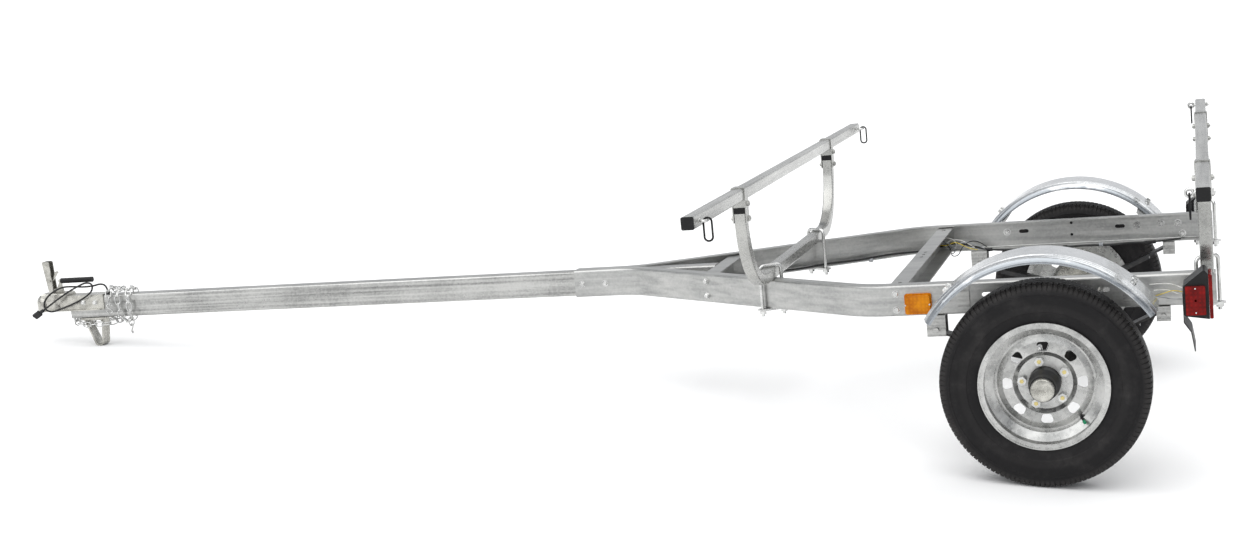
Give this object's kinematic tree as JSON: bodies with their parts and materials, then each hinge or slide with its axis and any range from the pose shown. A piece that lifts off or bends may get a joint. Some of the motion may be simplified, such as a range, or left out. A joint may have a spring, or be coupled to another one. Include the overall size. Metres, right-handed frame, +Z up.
{
  "type": "small boat trailer",
  "caption": "Light galvanised boat trailer with a long tongue, two bent side rails, leaf-sprung axle, mudguards and a load rack of two cross bars.",
  "frame": {"origin": "on the floor, under the middle of the whole trailer", "axes": "+X to the rear, -X to the coupler, +Y to the trailer's right, +Z up"},
  "size_m": [3.8778, 2.296, 0.8387],
  "materials": {
    "amber_lens": "moulded lens, ribbed inside",
    "black_plastic": "moulded",
    "black_rubber": "matte",
    "black_steel": "black coated",
    "bright_zinc": "zinc plated, bright",
    "fender_zinc": "galvanised, bright and rolled",
    "galvanised": "hot-dip galvanised, spangled satin",
    "red_lens": "moulded lens, ribbed inside",
    "rim_zinc": "hot-dip galvanised, frosty",
    "spring_steel": "dark oiled",
    "tyre": "black rubber, ribbed",
    "yellow_zinc": "yellow zinc plated"
  },
  "bodies": {
    "chassis": {"axle": "galvanised", "bar_caps": "black_plastic", "coupler": "bright_zinc", "coupler_latch": "bright_zinc", "coupler_lever": "bright_zinc", "eye_bolts": "bright_zinc", "foot_channel": "bright_zinc", "foot_strap": "bright_zinc", "front_bar": "galvanised", "front_bar_clamps": "galvanised", "front_cross_member": "galvanised", "front_hangers": "galvanised", "front_lower_tube": "galvanised", "front_tube_bolts": "bright_zinc", "handle_grip": "black_plastic", "left_fender": "fender_zinc", "left_fender_brackets": "galvanised", "left_rail": "galvanised", "left_spring": "spring_steel", "marker_lamps": "amber_lens", "middle_cross_member": "galvanised", "plate_bracket": "black_steel", "post_caps": "black_plastic", "rear_bar": "galvanised", "rear_bar_clamps": "galvanised", "rear_hangers": "galvanised", "rear_lower_tube": "galvanised", "rear_tube_bolts": "bright_zinc", "right_fender": "fender_zinc", "right_fender_brackets": "galvanised", "right_rail": "galvanised", "right_spring": "spring_steel", "safety_chains": "bright_zinc", "spring_clamps": "bright_zinc", "tail_brackets": "bright_zinc", "tail_housings": "black_plastic", "tail_lenses": "red_lens", "tie_rings": "black_steel", "tongue": "galvanised", "wiring_grommet": "black_rubber", "wiring_lead": "black_rubber", "wiring_plug": "black_rubber"},
    "left_wheel": {"left_rim": "rim_zinc", "left_tyre": "tyre", "left_hub": "bright_zinc", "left_hub_boot": "black_rubber", "left_lug_nuts": "yellow_zinc"},
    "right_wheel": {"right_rim": "rim_zinc", "right_tyre": "tyre", "right_hub": "bright_zinc", "right_hub_boot": "black_rubber", "right_lug_nuts": "yellow_zinc"}
  },
  "joints": [
    {"name": "left_wheel_turn", "type": "hinge", "parent": "chassis", "child": "left_wheel", "pos_m": [1.50836, -0.704, 0.264], "axis": [0, 1, 0], "continuous": true},
    {"name": "right_wheel_turn", "type": "hinge", "parent": "chassis", "child": "right_wheel", "pos_m": [1.50836, 0.704, 0.264], "axis": [0, 1, 0], "continuous": true}
  ]
}
